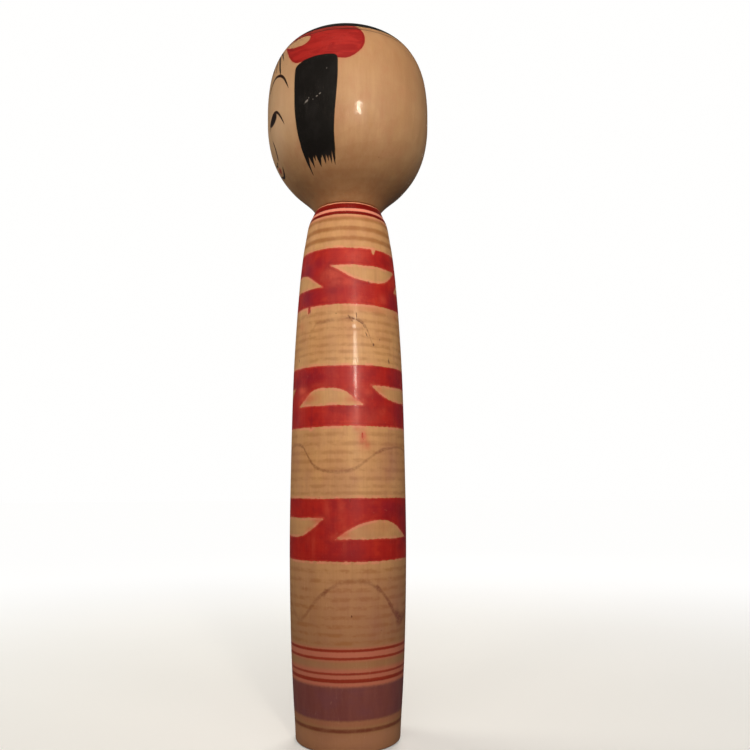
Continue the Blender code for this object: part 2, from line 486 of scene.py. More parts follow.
# ---- head
def build_head():
    seat = SEAM_Z + SEAM_GAP
    low = SEAM_Z - MOUTH_DEPTH
    floor = low - CHAMBER_H
    neck, bulb = MOUTH_R - CLEAR, CHAMBER_R - CLEAR
    bulb_top, bulb_low = low - (CHAMBER_R - MOUTH_R) - CLEAR, floor + CLEAR
    outer = trim(smooth_run(HEAD_STATIONS, True), 0.0, RIM)
    inside = NECK_RADIUS - RIM
    line = resample(outer, lambda z: 0.37 if 234 < z < 296 else 0.75)
    rim = rounded(line[-1], (NECK_RADIUS, seat), (inside, seat))
    tenon = np.concatenate([
        runs((inside, seat), (neck, seat, 5), (neck, bulb_top + bulb - neck, 4), (bulb, bulb_top, 2),
             (bulb, bulb_low + 1, 3)),
        rounded((bulb, bulb_low + 1), (bulb, bulb_low), (bulb - 1, bulb_low), 4)[1:],
        runs((bulb - 1, bulb_low), (0, bulb_low, 3)),
    ])
    profile = np.concatenate([line[:-1], rim, tenon])
    spans = ((0, 44, 80), (44, 98, 68), (98, 262, 64), (262, 316, 68), (316, 360, 80))
    az = np.concatenate([np.linspace(a, b, n, endpoint=False) for a, b, n in spans])
    return turned_mesh("kokeshi_head", profile, az) + (profile,)


head, _, head_az, head_row, head_profile = build_head()
head_runs = arc_length(head_profile)
head_run = head_runs[head_row]
OUTER = slice(int(np.argmin(np.abs(head_profile[:, 1] - (SEAM_Z + SEAM_GAP)))))


def at_height(z, values):
    return np.interp(-np.asarray(z, float), -head_profile[OUTER, 1], values[OUTER])


def run_at(z):
    """Distance from the crown along the outside of the head, at a height."""
    return at_height(z, head_runs)


def head_shape(points, side=1, area=False, smooth=True):
    """A painted shape from (azimuth, height[, half width]) points. side -1 paints it on the other side."""
    p = np.array(points, float)
    p[:, 0] *= side
    if smooth:
        p = closed_curve(p) if area else open_curve(p)
    mid_a, mid_z = p[:, :2].mean(0)
    scale = math.radians(1) * at_height(mid_z, head_profile[:, 0])
    u = wrap(head_az, mid_a) * scale
    p[:, 0] = (p[:, 0] - mid_a) * scale
    p[:, 1] = run_at(p[:, 1])
    if area:
        return area_field(u, head_run, p)
    if p.shape[1] == 3:
        p[:, 2] = np.maximum(p[:, 2], 0.02)
    return stroke_field(u, head_run, p)


layers = {name: np.full(len(head_az), FAR) for name in ("black", "face", "red", "scuff")}


def paint(layer, *args, **kind):
    layers[layer] = np.maximum(layers[layer], head_shape(*args, **kind))


# sidelocks: a broad block of brush hair with a ragged, toothed end
BLOCK = (
    (42.8, 262), (42.9, 270), (43.2, 275.4), (44.4, 277), (47.4, 278.1), (52, 278.9), (60, 279.4),
    (69, 279.3), (72.8, 278.7), (74.2, 276.8), (74.3, 270), (73.4, 262), (72.2, 255), (71.1, 248),
    (70.4, 242.4), (66, 241.9), (57, 242.1), (50, 241.8), (43.4, 242.4), (42.6, 246), (42.6, 253),
)
# each tooth: left and right angle at the root, root height, tip angle, tip height
TEETH = (
    (42.4, 46.8, 241.9, 43.4, 234.2), (44.4, 47.2, 241.8, 45.2, 238.2), (46.4, 51.4, 241.6, 48.6, 236.2),
    (50.8, 53.4, 241.3, 51.9, 238.3), (52.8, 59.2, 241.5, 55.6, 236), (57, 59.8, 241.6, 58.4, 239),
    (59, 62.9, 241.2, 60.8, 236.8), (62.5, 65.3, 241.4, 63.8, 237.6), (64.9, 68, 241.5, 66.4, 236.6),
    (67.5, 70.6, 241.9, 69.3, 236.2),
)
# stray hairs between the teeth, as (angle, top, tip, half width)
HAIRS = ((44.2, 241, 236.6, .13), (47, 242, 238.2, .1), (61.9, 242, 239.6, .12), (70.4, 245, 238.2, .16))
for side in (1, -1):
    paint("black", BLOCK, side, area=True)
    for i, (left, right, root, tip_a, tip) in enumerate(TEETH):
        if side < 0:
            tip += 0.9 * math.sin(i * 2.1)
            tip_a += 0.5 * math.sin(i * 1.3)
        mid = (root + tip) / 2
        paint("black", ((left, 244), (left + .15, root), (left + .6 * (tip_a - left) - .3, mid),
                        (tip_a - .1, tip), (tip_a + .1, tip), (right - .6 * (right - tip_a) + .3, mid),
                        (right - .15, root), (right, 244)), side, area=True, smooth=False)
    for a, z, tip, w in HAIRS:
        paint("black", ((a, z, w), (a + .2, (z + tip) / 2, w), (a - .1, tip, .02)), side)

# forelock: brush strokes falling from the crown ring
FORELOCK = (
    (0, 279.4, 0, .8), (3.2, 280.2, .5, .75), (-3, 280.6, -.4, .75), (6.4, 280, 1.3, .72),
    (-6.2, 279.6, -1.3, .72), (9.2, 281.4, 2.4, .66), (-9.4, 281, -2.2, .66), (11.4, 282.2, 2.2, .5),
    (-11.6, 282.6, -2, .5), (1.6, 282, .2, .45), (-4.6, 282.4, -.8, .45), (4.9, 282.9, .8, .45),
)
for a, tip, splay, w in FORELOCK:
    paint("black", ((a * .92, 294.6, w * 1.15), (a * .97, 291, w * 1.15), (a + splay * .25, 287.4, w),
                    (a + splay * .62, 284, w * .72), (a + splay, tip + 1.2, w * .3),
                    (a + splay * 1.08, tip, .02)))
TUFT = (
    (-12.2, 295.5), (-12.4, 290.5), (-9.5, 288.3), (-5, 287.6), (0, 287.8), (5, 287.4), (9.5, 288.2),
    (12.4, 290.3), (12.2, 295.5),
)
paint("black", TUFT, area=True)
STRANDS = (
    ((9.5, 291.4, .62), (14.5, 290, .6), (19.2, 287.8, .58), (22.6, 284.9, .56), (24.9, 281.6, .54),
     (26.5, 278.9, .42), (27.2, 277.6, .05)),
    ((10.6, 292.2, .5), (16, 291.2, .42), (21.5, 289.2, .34), (26, 286.4, .24), (28.6, 283.6, .04)),
    ((9.8, 290.2, .5), (14, 288, .44), (17.2, 285.2, .36), (19.2, 282.4, .24), (20.2, 280, .03)),
)

# face: brow, eyelid and nose, then the eye, the mouth and the lips
FACE_STROKES = (
    ((7.4, 272.4, .05), (9.8, 274.2, .3), (13.4, 276.1, .44), (18.5, 277.8, .54), (23.5, 277.8, .58),
     (28, 276.7, .58), (31.8, 274.8, .5), (34.8, 272.1, .36), (37.4, 268.9, .03)),
    ((7.4, 257.2, .05), (9.2, 258.6, .34), (12, 260.2, .46), (15.6, 261.6, .54), (19.4, 262.3, .56),
     (23, 261.9, .52), (26.2, 260.2, .44), (29, 257.7, .34), (31.4, 254.8, .03)),
    ((9.8, 252.8, .04), (10.7, 251.4, .28), (11.2, 249.8, .4), (11, 248.2, .46), (10.2, 246.7, .44),
     (8.6, 245.3, .34), (7, 244.6, .04)),
)
EYE = (
    (11, 258.9), (13.6, 260.9), (17.6, 262.3), (21.4, 262.3), (22.9, 261.1), (22.3, 259.6), (20.2, 258.5),
    (17.2, 257.9), (14.2, 257.8), (12, 258.1),
)
MOUTH = (
    ((-9.8, 241.7, .04), (-8, 240.9, .36), (-5, 240, .54), (0, 239.4, .6), (5, 240, .54), (8, 240.9, .4),
     (10.4, 242, .04)),
    ((-4.6, 244.7, .04), (-2.6, 244.6, .36), (0, 244, .4), (2.6, 244.6, .36), (4.6, 244.7, .04)),
)
LIPS = (
    (-3.2, 242.1), (-1.7, 243.1), (0, 242.8), (1.7, 243.1), (3.2, 242.1), (1.7, 241.2), (0, 240.9),
    (-1.7, 241.2),
)
for side in (1, -1):
    for strand in STRANDS:
        paint("black", strand, side)
    for stroke in FACE_STROKES:
        paint("face", stroke, side)
    paint("face", EYE, side, area=True)
for stroke in MOUTH:
    paint("face", stroke)
layers["black"] = np.maximum(layers["black"], layers["face"])
paint("red", LIPS, area=True)

# red hair ornaments: a loop from the sidelock up to the crown ring, with a plain slit in it
LOBE = (
    (23, 292), (26, 290.4), (30.6, 287.4), (35, 283.6), (38.6, 280.9), (42.4, 279), (46, 278.4), (54, 278.2),
    (62, 278.2), (70, 277.8), (76, 277.1), (81, 277.2), (86, 279), (90.6, 282), (92.9, 285.6), (92.9, 289.4),
    (90.8, 292.2), (87.5, 294), (84, 295.6), (76, 296.6), (62, 296.6), (48, 296.4), (38, 295.6), (31, 294.2),
    (26, 293),
)
SLIT = (
    (23.6, 291.6), (29, 290), (35, 288.2), (41, 287.2), (47, 286.9), (50.6, 287.8), (52.2, 289.4),
    (51.2, 291), (47, 291.9), (40, 292.1), (33, 292.2), (27, 292.1),
)
for side in (1, -1):
    lobe = np.minimum(head_shape(LOBE, side, area=True), -head_shape(SLIT, side, area=True))
    layers["red"] = np.maximum(layers["red"], lobe)

# pale rubs on the sidelocks, as (angle, height, half width, length round, rise)
RUBS = (
    (52.6, 260.4, .5, 3, 1.2), (54.4, 261.6, .3, .8, 1), (50.8, 259.6, .22, 1.4, .4),
    (57.4, 260.6, .24, 1, .5), (60.2, 261.7, .38, 1.8, .5), (62.4, 262.5, .34, 1.4, .8),
    (67, 273, .3, .9, .8), (59, 248.4, .14, .5, .3), (68, 256, .14, .4, .4), (52.5, 249.8, .18, .6, .4),
    (-50, 266.5, .24, .8, .5), (-62, 252.4, .2, .6, .6),
)
for a, z, w, across, rise in RUBS:
    ends = ((a - across / 2, z - rise / 2, w * .4), (a + across / 2, z + rise / 2, w * .3))
    paint("scuff", (ends[0], (a, z, w), ends[1]))

# the bold ring and the thin line of the crown, as distances from the crown
RING_RUN, LINE_RUN = float(run_at(294.5)), float(run_at(292.5))
hidden = head_run >= run_at(SEAM_Z + SEAM_GAP + 0.1)
for name, values in layers.items():
    values[hidden] = FAR
    store(head, name, values)
store(head, "run", head_run)


# ---- shader helpers
class Wire:
    """A node's output. Adding, subtracting, multiplying or dividing wires makes a Math node."""

    def __init__(self, graph, socket):
        self.graph, self.socket = graph, socket

    def __add__(self, other):
        return self.graph.math('ADD', self, other)

    def __sub__(self, other):
        return self.graph.math('SUBTRACT', self, other)

    def __rsub__(self, other):
        return self.graph.math('SUBTRACT', other, self)

    def __mul__(self, other):
        return self.graph.math('MULTIPLY', self, other)

    def __truediv__(self, other):
        return self.graph.math('DIVIDE', self, other)

    def __abs__(self):
        return self.graph.math('ABSOLUTE', self)


class Graph:
    """A material's node tree. pos is the place on the piece, in mm."""

    def __init__(self, name):
        self.mat = bpy.data.materials.new(name)
        self.mat.use_nodes = True
        self.tree = self.mat.node_tree
        self.tree.nodes.clear()
        out = self.tree.nodes.new("ShaderNodeOutputMaterial")
        self.shader = self.tree.nodes.new("ShaderNodeBsdfPrincipled")
        self.tree.links.new(self.shader.outputs[0], out.inputs[0])
        self.pos = self.scale(self.node("ShaderNodeTexCoord", out="Object"), (1000, 1000, 1000))

    def put(self, socket, value):
        if isinstance(value, Wire):
            self.tree.links.new(value.socket, socket)
        else:
            if socket.type == 'RGBA' and len(value) == 3:
                value = (*value, 1)
            socket.default_value = value

    def node(self, kind, inputs=(), out=0, **settings):
        n = self.tree.nodes.new(kind)
        for k, v in settings.items():
            setattr(n, k, v)
        for k, v in inputs.items() if isinstance(inputs, dict) else enumerate(inputs):
            self.put(n.inputs[k], v)
        return Wire(self, n.outputs[out])

    def math(self, op, *values):
        return self.node("ShaderNodeMath", values, operation=op)

    def most(self, a, b):
        return self.math('MAXIMUM', a, b)

    def scale(self, vector, by):
        return self.node("ShaderNodeVectorMath", (vector, by), operation='MULTIPLY')

    def shift(self, vector, by):
        return self.node("ShaderNodeVectorMath", (vector, by), operation='ADD')

    def parts(self, vector):
        split = self.node("ShaderNodeSeparateXYZ", (vector,)).socket.node
        return [Wire(self, socket) for socket in split.outputs]

    def vector(self, x, y, z):
        return self.node("ShaderNodeCombineXYZ", (x, y, z))

    def attr(self, name):
        return self.node("ShaderNodeAttribute", out="Fac", attribute_name=name)

    def noise(self, at, detail=3, rough=0.5, distortion=0, out="Fac"):
        return self.node("ShaderNodeTexNoise", {"Vector": at, "Scale": 1, "Detail": detail,
                                                "Roughness": rough, "Distortion": distortion}, out)

    def mottle(self, scale, detail=3, rough=0.5, shift=None, distortion=0, out="Fac"):
        """Noise all through the piece, with scale cells a mm; shift makes it another pattern."""
        at = self.shift(self.pos, shift) if shift else self.pos
        scale = scale if isinstance(scale, tuple) else (scale,) * 3
        return self.noise(self.scale(at, scale), detail, rough, distortion, out)

    def cells(self, at):
        return self.node("ShaderNodeTexVoronoi", {"Vector": at, "Scale": 1, "Randomness": 1}, "Distance")

    def ramp(self, x, lo, hi, out_lo=0, out_hi=1):
        """Smoothly from out_lo at lo to out_hi at hi."""
        ends = {"From Min": lo, "From Max": hi, "To Min": out_lo, "To Max": out_hi}
        return self.node("ShaderNodeMapRange", {"Value": x, **ends}, interpolation_type='SMOOTHSTEP')

    def mix(self, amount, a, b):
        """Colour b over colour a."""
        return self.node("ShaderNodeMix", {"Factor": amount, 6: a, 7: b}, 2, data_type='RGBA',
                         clamp_factor=True)

    def coats(self, tone, coats):
        """Lay colours over a tone in turn, each as (amount, red, green, blue)."""
        for amount, *rgb in coats:
            tone = self.mix(amount, tone, srgb(*rgb))
        return tone

    def blend(self, amount, a, b):
        """Number a to number b."""
        return self.node("ShaderNodeMix", {"Factor": amount, 2: a, 3: b}, data_type='FLOAT')

    def band(self, x, centre, half, soft):
        """1 within half of centre, fading over soft."""
        return self.ramp(abs(x - centre), half - soft, half + soft, 1, 0)

    def bump(self, height_mm, strength):
        return self.node("ShaderNodeBump", {"Strength": strength, "Distance": MM, "Height": height_mm})


def srgb(r, g, b):
    return tuple(((c / 255 + 0.055) / 1.055) ** 2.4 if c > 10 else c / 255 / 12.92 for c in (r, g, b))


def wood(g, pith, pale, deep, grain=1.0):
    """Dogwood, waxed and ambered with age: rings round an off-centre pith, fibre, flecks, cloudy patina."""
    x, y, _ = g.parts(g.pos)
    slow = g.mottle((.03, .03, .012), 2)
    drift = g.mottle((.05, .05, .007), out="Color")
    moved = g.shift(g.scale(drift, (9, 9, 0)), g.vector(x - pith[0], y - pith[1], 0))
    mx, my, _ = g.parts(moved)
    ring_at = g.math('SQRT', mx * mx + my * my)
    phase = g.math('FRACT', ring_at / 3.1)
    late = g.ramp(phase, .25, .95) * g.ramp(phase, .95, 1, 1, 0)
    fibre = g.mottle((1.1, 1.1, .05), 3, .6)
    fine = g.mottle((3.2, 3.2, .16), 2)
    column = g.mottle((.3, .3, .018), 3, .6)
    fleck_cell = g.cells(g.scale(g.pos, (1.5, 1.5, .16)))
    fleck = g.ramp(fleck_cell, .05, .16, 1, 0)
    cloud = g.mottle((.075, .075, .06), 4, .55)
    blotch = g.noise(g.shift(g.scale(g.pos, (.19, .19, .13)), (7, 3, 9)), 4, .6)

    tone = g.mix(g.ramp(cloud, .32, .7), pale, deep)
    tone = g.coats(tone, (
        (g.ramp(blotch, .42, .72, 0, .38), 192, 130, 96),
        (g.ramp(blotch, .44, .26, 0, .3), 200, 152, 98),
        (g.ramp(slow, .35, .65, 0, .2), 212, 166, 116),
        (g.ramp(column, .48, .72, 0, .22), 170, 116, 78),
        (g.ramp(column, .46, .28, 0, .16), 224, 182, 136),
        (late * .11, 170, 116, 72),
        (g.ramp(fibre, .42, .8, 0, .2 * grain), 172, 118, 76),
        (g.ramp(fine, .5, .85, 0, .12 * grain), 230, 188, 142),
        (fleck * .14, 146, 94, 58),
    ))
    height = fibre * .01 + late * -.004
    height -= fleck * .006
    # the finish pools and dries unevenly, so reflections wander and break
    height += g.mottle((.5, .5, .34), 3, .6) * .05
    height += g.mottle((1.1, 1.1, .55), 2, .6, (5, 5, 9)) * .03
    return tone, height, cloud, blotch


def wear(g, tone, seed):
    """Dark specks, pale nicks and fine scratches."""
    p = g.shift(g.pos, seed)
    speck_size = g.noise(g.scale(p, (.08, .08, .08)), 1)
    speck = g.ramp(g.cells(g.scale(p, (.15, .15, .15))), .02, .055, 1, 0)
    speck *= g.ramp(speck_size, .48, .56)
    scratch = g.noise(g.scale(g.shift(p, (3, 8, 1)), (.9, .9, .07)), 1, .4, 1.2)
    scratch = g.band(scratch, .5, .003, .003) * g.ramp(speck_size, .4, .62)
    tone = g.mix(speck * .65, tone, srgb(86, 50, 30))
    return tone, speck, scratch


def finish_shader(g, colour, rough, height, bump=1.0, coat=0.35):
    s = g.shader.inputs
    g.put(s["Base Color"], colour)
    g.put(s["Roughness"], rough)
    s["IOR"].default_value = 1.42
    s["Coat Weight"].default_value = coat
    s["Coat Roughness"].default_value = 0.10
    s["Coat IOR"].default_value = 1.5
    normal = g.bump(height, bump)
    g.put(s["Normal"], normal)
    if coat:
        g.put(s["Coat Normal"], normal)
    return g.mat


def brushed(g, radius_scale):
    """Streaks running round the piece, as a brush leaves when the piece turns."""
    x, y, z = g.parts(g.pos)
    at = g.vector(x * radius_scale, y * radius_scale, z)
    broad = g.noise(g.scale(at, (1, 1, .55)), 3, .6)
    fine = g.noise(g.scale(at, (1.4, 1.4, 1.3)), 2, .6)
    return broad, fine


def body_material():
    g = Graph("body_wood_painted")
    ramp, mix, band, most = g.ramp, g.mix, g.band, g.most
    blend, attr, mottle = g.blend, g.attr, g.mottle
    tone, height, cloud, blotch = wood(g, (11, 5), srgb(217, 163, 107), srgb(205, 150, 97))
    x, y, z = g.parts(g.pos)
    lilt = mottle((.05, .05, .02), 2)
    z += (lilt - .5) * .5
    broad, fine = brushed(g, .045)
    edge_noise = mottle((1.1, 1.1, .9), 3, .6)
    painted = attr("painted")
    # painted shade: the body is darkened towards the bottom, where less light falls, then lightened a little
    # again over the lowest few mm
    tone = g.coats(tone, (
        (ramp(z, 97, 36, 0, .7), 156, 105, 75),
        (ramp(z, 9, 6, 0, .62), 190, 132, 98),
    ))

    # brown lines left by the lathe, softly burnt in, only on the plain parts
    lathe = attr("lathe")
    waver = (mottle((.07, .07, .03), 2) - .5) * .22
    near = abs(g.math('FRACT', lathe + .5 + waver) - .5)
    patchy = mottle((.16, .16, .3), 3, .65, (5, 5, 5))
    width = blend(ramp(patchy, .3, .7), .3, .42)
    line = 1 - g.math('SMOOTH_MIN', near / width, 1, .2)
    line = ramp(line, 0, .8)
    upper = ramp(z, 200, 206)
    line *= blend(upper, ramp(patchy, .38, .6, .18, 1), ramp(patchy, .3, .6, .75, 1))
    zones = band(z, 56, 16.6, 1.5)
    for centre, half in ((112.5, 13.2), (165.0, 12.2), (211.5, 7.6)):
        zones = most(zones, band(z, centre, half, 1.5))
    line *= most(zones, .16)
    tone = mix(line * blend(upper, most(ramp(z, 70, 110, .5, .37), ramp(z, 120, 150, .3, .4)), .72), tone,
               srgb(156, 92, 44))

    # faded waving lines
    ink_left = attr("wave_ink")
    wave = abs(attr("wave") + (edge_noise - .5) * .9)
    fade = mottle(.1, 3, .65, (31, 7, 2))
    dry = mottle((.8, .8, 1.4), 3, .65, (3, 17, 2))
    wave_width = ramp(fade, .34, .66, .85, 1.35) * ramp(ink_left, .9, 1.5, 1, 3)
    wave_width *= ramp(z, 110, 70, 1, 1.4)
    wave_line = ramp(wave / wave_width, .15, 1, 1, 0)
    wave_line *= ramp(dry, .34, .58, .45, 1) * ink_left
    tone = mix(wave_line * ramp(z, 110, 70, .7, .66), tone, srgb(110, 46, 26))

    # violet bloom left by the faded ink, and pink that has run from the red
    bloom = mottle((.045, .045, .04), 3, .6, (2, 40, 12))
    bloom = ramp(bloom, .44, .64) * ramp(z, 130, 116)
    tone = g.coats(tone, (
        (bloom * .16, 156, 100, 90),
        (attr("violet") * ramp(patchy, .25, .65, .5, 1), 166, 104, 98),
    ))

    # red groups
    red_d = attr("red") + (edge_noise - .5)
    red = ramp(red_d, -.16, .2)
    run_out = mottle(.22, 3, .6, (14, 3, 8))
    halo = ramp(red_d, -1.3, -.4) * ramp(run_out, .4, .58, .12, 1)
    density = ramp(broad, .3, .7)
    streak = ramp(fine, .3, .72)
    soak = mottle((.34, .34, .05), 3, .6, (6, 2, 5))
    pool = mottle((.085, .085, .11), 4, .6, (9, 9, 4))
    red_tone = mix(ramp(soak, .34, .66), srgb(186, 37, 29), srgb(174, 27, 24))
    red_tone = g.coats(red_tone, (
        (density * .22, 188, 50, 36),
        (streak * .1, 204, 66, 48),
        (ramp(soak, .6, .74, 0, .26), 200, 66, 52),
        (ramp(pool, .48, .64, 0, .5), 140, 20, 30),
        (ramp(pool, .46, .34, 0, .6), 202, 56, 34),
        (attr("deep") * ramp(run_out, .3, .6, .55, 1), 126, 20, 46),
        (attr("pale") * ramp(run_out, .34, .56, .45, 1), 214, 84, 62),
    ))
    # thinner and lighter right at the edge, then a darker tide line
    red_tone = g.coats(red_tone, (
        (ramp(red_d, .15, .9, .55, 0) * ramp(run_out, .4, .62, .1, 1), 212, 86, 66),
        (band(red_d, .95, .25, .3) * .2, 140, 20, 20),
        # painted shade: the red darkens towards the bottom
        (ramp(z, 120, 60, 0, .2), 140, 20, 12),
    ))

    wash_low = most(band(z, 38.1, 2.5, .9), band(z, 28.9, 3.6, 1.2))
    top_wash_and_rim_highlight = most(band(z, 220.45, 1.3, .4) * .92, band(z, 217.7, .8, .6) * .3)
    # the band on the rounded rim at the seam is painted highlight on the lit edge, in the pink of the wash
    top_wash_and_rim_highlight = most(top_wash_and_rim_highlight, band(z, 224.4, .7, .3) * .55)
    tone = g.coats(tone, (
        (wash_low * .48 * painted, 220, 108, 96),
        (halo * .66 * painted, 232, 146, 118),
    ))
    smear = attr("smear") * ramp(run_out, .3, .6, .45, 1)
    tone = g.coats(tone, (
        (smear, 204, 78, 58),
        (top_wash_and_rim_highlight * painted, 240, 150, 126),
    ))
    # thin red rings, as (height, half width, softness, strength)
    rings = (
        (222.55, 1.32, .18, 1), (218.95, .8, .24, 1), (39.6, .52, .24, .95), (36.5, .5, .24, .93),
        (30.7, .44, .24, .88), (28.05, .7, .26, .96),
    )
    ragged = z + (edge_noise - .5) * .35
    thin = reduce(most, [band(ragged, *ring) * strength for *ring, strength in rings])
    thin_tone = mix(streak, srgb(114, 0, 0), srgb(134, 6, 2))
    thin_tone = mix(ramp(z, 60, 50), thin_tone, mix(streak, srgb(142, 40, 20), srgb(156, 50, 28)))
    tone = mix(thin * painted, tone, thin_tone)
    worn = mottle(.55, 5, .7, (1, 2, 60))
    rubbed = ramp(worn, .66, .74)
    cover = red * painted * (1 - rubbed * .35)
    tone = mix(cover, tone, red_tone)

    # broad purple-brown ring, and a brown line under it
    purple_edge = z + (edge_noise - .5) * .9
    purple = ramp(purple_edge, 12.1, 13.4) * ramp(purple_edge, 25, 26.6, 1, 0)
    purple_tone = mix(ramp(soak, .3, .7), srgb(134, 74, 68), srgb(124, 64, 62))
    purple_tone = g.coats(purple_tone, (
        (ramp(pool, .4, .66, 0, .6), 122, 68, 76),
        (streak * .12, 146, 88, 78),
    ))
    tone = mix(band(z, 11.8, 1.2, .8) * .3, tone, srgb(176, 92, 78))
    tone = mix(purple * .96, tone, purple_tone)
    brown = band(z + (edge_noise - .5) * .4, 8.9, .7, .45) * ramp(patchy, .25, .55, .55, 1)
    tone = mix(brown * .86, tone, srgb(118, 52, 34))

    tone, speck, scratch = wear(g, tone, (0, 0, 0))
    tone = mix(scratch * blend(cover, .26, .07), tone, srgb(226, 176, 136))
    check = ramp(attr("check"), -.1, .08)
    tone = g.coats(tone, (
        (check * .8, 84, 36, 24),
        # painted shade: the spur pits are darkened the deeper they go
        (ramp(attr("pit"), .1, .9, 0, .7), 92, 58, 36),
    ))
    # handling grime round the foot
    grime_and_shade = ramp(z, 5, 0, 0, .26) * ramp(blotch, .25, .7, .55, 1)
    tone = mix(grime_and_shade, tone, srgb(110, 68, 44))

    ink = most(cover, most(thin, purple))
    rough = blend(ink, ramp(cloud, .3, .7, .4, .5), ramp(soak, .3, .7, .34, .46))
    rough += (speck + scratch) * .18
    tool = g.noise(g.vector(x * .02, y * .02, z * .9), 2)
    height += tool * .02
    height -= check * .1
    height -= line * .022
    height += ink * .012
    height += fine * ink * .006
    height -= (speck + scratch) * .03
    return finish_shader(g, tone, rough, height, coat=.18)


def head_material():
    g = Graph("head_wood_painted")
    ramp, mix, band, most = g.ramp, g.mix, g.band, g.most
    blend, attr, mottle = g.blend, g.attr, g.mottle
    tone, height, cloud, blotch = wood(g, (-9, 8), srgb(197, 154, 112), srgb(187, 142, 101), .6)
    x, y, z = g.parts(g.pos)
    run = attr("run")
    edge_noise = mottle((1.3, 1.3, 1), 3, .6)
    hair_noise = mottle((3, 3, .5), 3, .6)
    _, fine = brushed(g, .1)
    streak = ramp(fine, .3, .72)

    # faint turning marks on the crown, and very faint ones round the cheeks
    turning = g.noise(g.vector(run * .8, 0, 0), 3, .6)
    crown = ramp(run, 34, 26, .03, .36)
    tone = mix(crown * ramp(turning, .4, .7), tone, srgb(160, 108, 70))

    # painted light: the face side of the head is painted paler above the mouth
    face_painted_light = ramp(y, -14, -31, 0, .42) * ramp(z, 238, 256)
    tone = mix(face_painted_light, tone, srgb(212, 176, 140))

    # red ornaments and lips
    red_d = attr("red") + (edge_noise - .5) * .35
    red = ramp(red_d, -.12, .16)
    tone = mix(ramp(red_d, -.9, .1, 0, .42), tone, srgb(214, 120, 96))
    wet = mottle((.13, .13, .5), 4, .6, (4, 4, 4), distortion=.8)
    red_tone = mix(ramp(wet, .38, .62), srgb(174, 36, 30), srgb(152, 20, 18))
    red_tone = g.coats(red_tone, (
        (streak * .1, 200, 66, 52),
        (band(red_d, .55, .4, .4) * .5, 134, 14, 16),
    ))
    # the red thins between the two crown lines
    above = ramp(run, LINE_RUN - .2, LINE_RUN - .6)
    red_tone = mix(above * .45, red_tone, srgb(150, 62, 46))
    tone = mix(red, tone, red_tone)

    # crown: bold ring with an eye, and a thin ring outside it
    at = run + (edge_noise - .5) * .3
    bold = ramp(at, 20, 20.4) * ramp(at, RING_RUN - .2, RING_RUN + .2, 1, 0)
    eye = ramp(at, 6.2, 6.6, 1, 0)
    hairline = band(at, LINE_RUN, .3, .16) * ramp(hair_noise, .25, .5, .75, 1)
    hairline = most(hairline, band(at, LINE_RUN - 1.05, .16, .14) * .5)
    inner = band(at, 17.6, .36, .16) * .85
    black_d = attr("black") + (hair_noise - .5) * .16
    black = ramp(black_d, -.16, .05)
    turned_black = most(bold, eye)
    solid = most(black, turned_black)
    lines = most(hairline * .9, inner)
    ink_tone = mix(ramp(hair_noise, .35, .7), srgb(17, 14, 12), srgb(25, 22, 20))
    ink_tone = g.coats(ink_tone, (
        (ramp(blotch, .46, .7, 0, .6), 33, 30, 29),
        (ramp(black_d, 0, .3, .15, 0), 52, 30, 18),
    ))
    stroke = ramp(attr("face"), -.4, 0) * ramp(attr("face"), .45, 1, .85, .2)
    ink_tone = mix(stroke, ink_tone, srgb(44, 18, 8))
    turned_tone = mix(ramp(turning, .45, .7, 0, .6), srgb(20, 17, 15), srgb(40, 34, 30))
    tone = mix(lines, tone, srgb(48, 28, 20))
    tone = mix(turned_black, tone, turned_tone)
    tone = mix(black, tone, ink_tone)
    scuff = ramp(attr("scuff") + (edge_noise - .5) * .5, -.05, .25)
    tone = mix(scuff * black * .72, tone, srgb(160, 150, 142))

    tone, speck, scratch = wear(g, tone, (50, 20, 30))
    tone = mix(scratch * blend(most(solid, red), .26, .05), tone, srgb(228, 180, 140))
    # painted shade: the head is darkened with blotchy warm brown towards its underside, where shade falls
    grime_and_shade = ramp(z, 250, 226, 0, .56) * ramp(blotch, .25, .7, .7, 1)
    tone = g.coats(tone, (
        (grime_and_shade * (1 - solid), 136, 86, 42),
        # painted shade: the unpainted wood darkens towards the crown
        (ramp(z, 260, 286, 0, .34) * (1 - most(solid, red)), 172, 122, 78),
    ))

    rough = blend(solid, ramp(cloud, .3, .7, .4, .5), ramp(hair_noise, .3, .7, .38, .5))
    rough = blend(red, rough, ramp(fine, .3, .7, .36, .46))
    rough += (speck + scratch + scuff) * .16
    tool = g.noise(g.vector(x * .02, y * .02, run * .8), 2)
    height += tool * .014
    dimple = mottle((.42, .42, .3), 2, shift=(8, 1, 6))
    height += dimple * .045
    height += most(solid, red) * .014
    height += hair_noise * black * .016
    height -= (speck + scratch) * .03
    return finish_shader(g, tone, rough, height, coat=.45)


body.data.materials.append(body_material())
head.data.materials.append(head_material())
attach(body, "body")
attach(head, "head")
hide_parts("body")
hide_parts("head")


# ---- stage, light and camera
def floor():
    """A pale sweep: it takes the doll's soft shadow close by and melts into the backdrop far away."""
    mesh = bpy.data.meshes.new("floor")
    n, r = 96, 8.0
    rim = [(r * math.cos(2 * math.pi * i / n), r * math.sin(2 * math.pi * i / n), -.0002) for i in range(n)]
    mesh.from_pydata(rim, [], [tuple(range(n))])
    obj = new_object("floor", mesh)
    g = Graph("floor_paper")
    x, y, _ = g.parts(g.pos)
    away = g.math('SQRT', x * x + y * y)
    cloud = g.mottle(.006)
    near = g.mix(cloud, srgb(222, 220, 217), srgb(230, 228, 225))
    far = g.ramp(away, 60, 700)
    glow = g.blend(far, .2, .99)
    finish_shader(g, g.mix(far, near, (.02, .02, .02)), .9, g.mottle(1.2), .02, 0)
    g.shader.inputs["Emission Color"].default_value = (1, .995, .985, 1)
    g.put(g.shader.inputs["Emission Strength"], glow)
    obj.data.materials.append(g.mat)
    obj.visible_diffuse = False
    obj.visible_glossy = False


def place(azimuth, distance, height):
    a = math.radians(azimuth)
    return Vector((distance * math.sin(a), -distance * math.cos(a), height))


